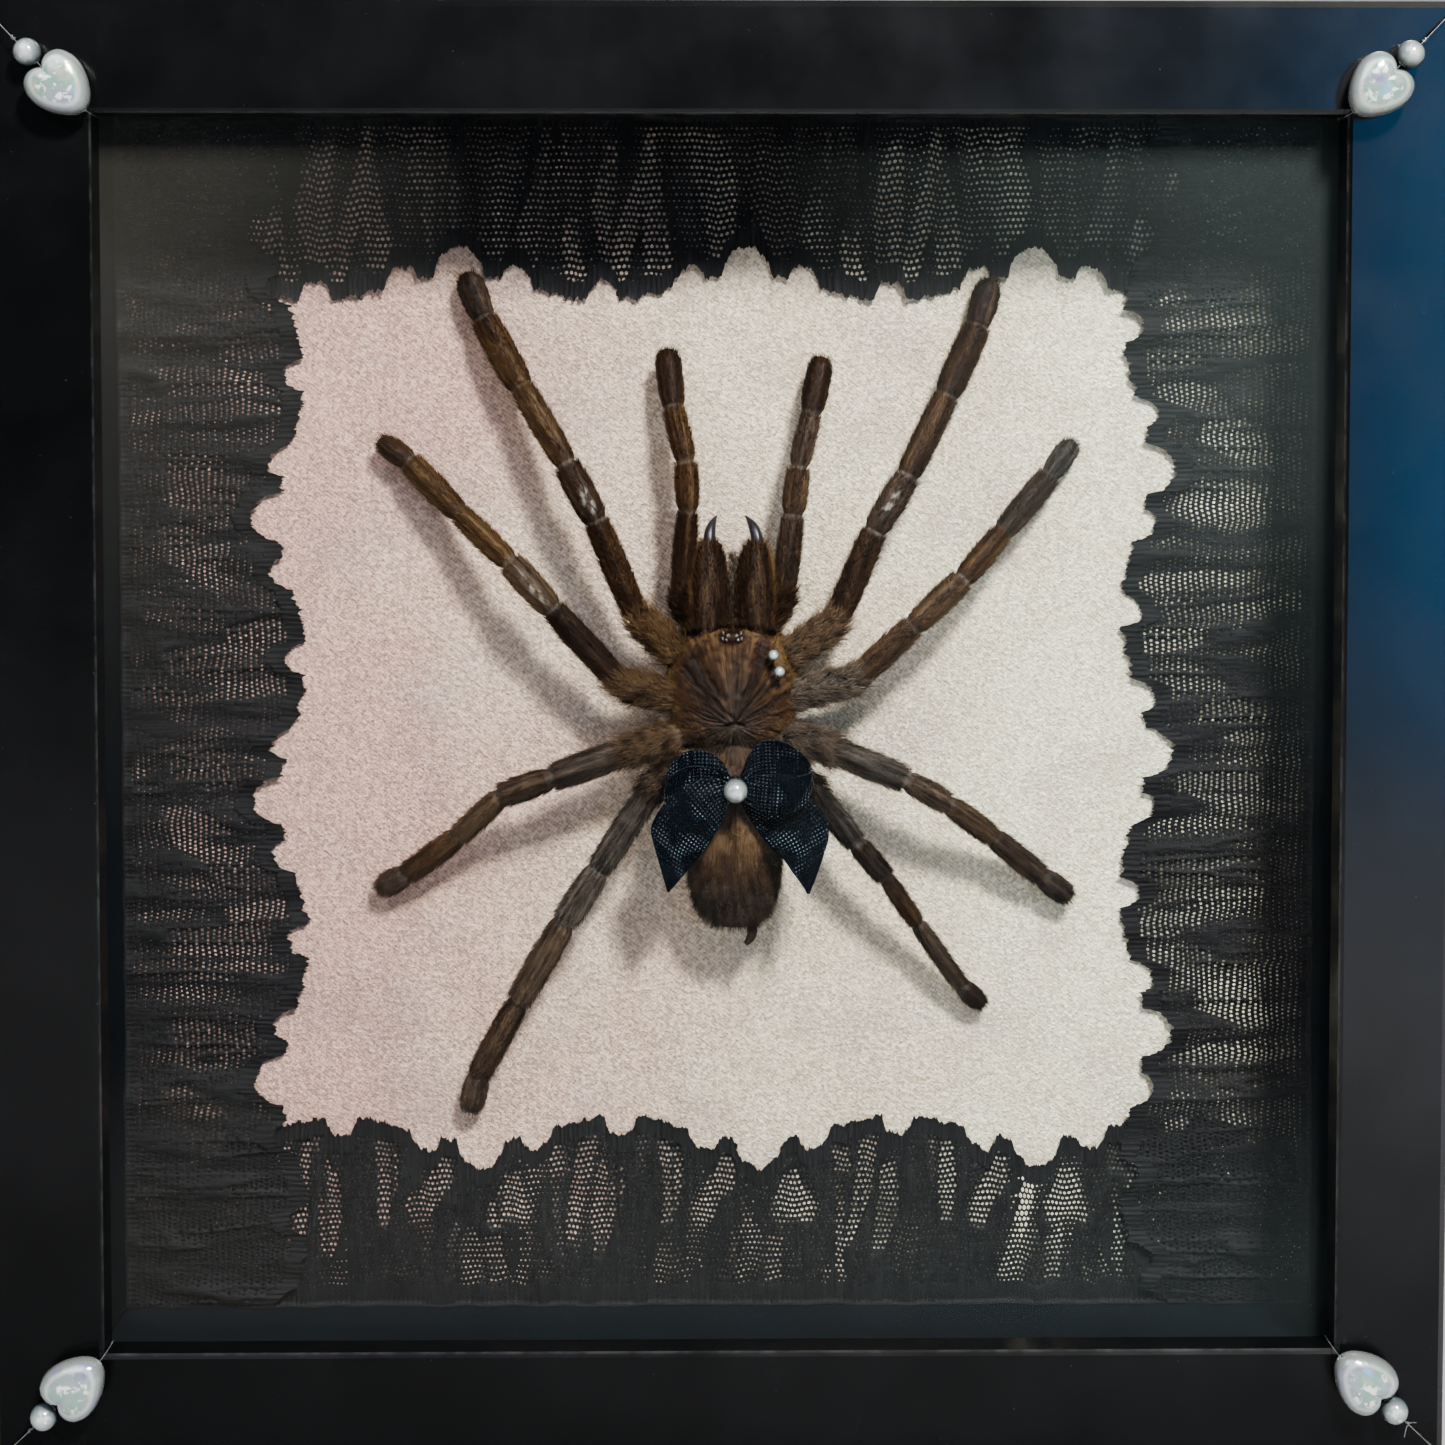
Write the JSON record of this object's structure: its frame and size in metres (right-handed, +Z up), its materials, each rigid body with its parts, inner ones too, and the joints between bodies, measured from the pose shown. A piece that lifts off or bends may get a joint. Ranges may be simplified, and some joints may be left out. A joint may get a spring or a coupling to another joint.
{
  "type": "framed tarantula specimen",
  "caption": "Square black shadow box holding a spread dried tarantula on pale satin, edged with black lace, with a ribbon bow, pearls and corner beads.",
  "frame": {"origin": "middle of the bottom rail's underside, which the frame stands on", "axes": "+X to the right of someone who looks at the glass, +Y from the glass to the back, +Z up"},
  "size_m": [0.236, 0.0477, 0.236],
  "materials": {
    "moulding": "satin black lacquer",
    "glass": "clear polished sheet",
    "spacer": "black card",
    "satin": "pale pink-cream satin with a fine diagonal weave",
    "board": "brown fibreboard",
    "lace": "black net lace",
    "specimen": "dry brown cuticle with fine golden hairs",
    "ribbon": "navy satin ribbon",
    "pearl": "pearl lustre",
    "nylon": "clear thread",
    "steel": "zinc plated"
  },
  "bodies": {
    "root": {"frame_rail_bottom": "moulding", "frame_rail_right": "moulding", "frame_rail_top": "moulding", "frame_rail_left": "moulding", "glass_pane": "glass", "spacer_bottom": "spacer", "spacer_right": "spacer", "spacer_top": "spacer", "spacer_left": "spacer", "satin_cloth": "satin", "mount_board": "board", "backing_board": "board", "lace_bottom": "lace", "lace_right": "lace", "lace_top": "lace", "lace_left": "lace", "tarantula": "specimen", "ribbon_bow": "ribbon", "bow_pearl": "pearl", "carapace_pearl_1": "pearl", "carapace_pearl_2": "pearl", "corner_heart_top_left": "pearl", "corner_heart_top_right": "pearl", "corner_heart_bottom_left": "pearl", "corner_heart_bottom_right": "pearl", "corner_pearl_top_left": "pearl", "corner_pearl_top_right": "pearl", "corner_pearl_bottom_left": "pearl", "corner_pearl_bottom_right": "pearl", "corner_thread_top_left": "nylon", "corner_thread_top_right": "nylon", "corner_thread_bottom_left": "nylon", "corner_thread_bottom_right": "nylon", "point_bottom_1": "steel", "point_bottom_2": "steel", "point_right_1": "steel", "point_right_2": "steel", "point_top_1": "steel", "point_top_2": "steel", "point_left_1": "steel", "point_left_2": "steel", "sawtooth_hanger": "steel", "hanger_nail_1": "steel", "hanger_nail_2": "steel"}
  },
  "joints": []
}
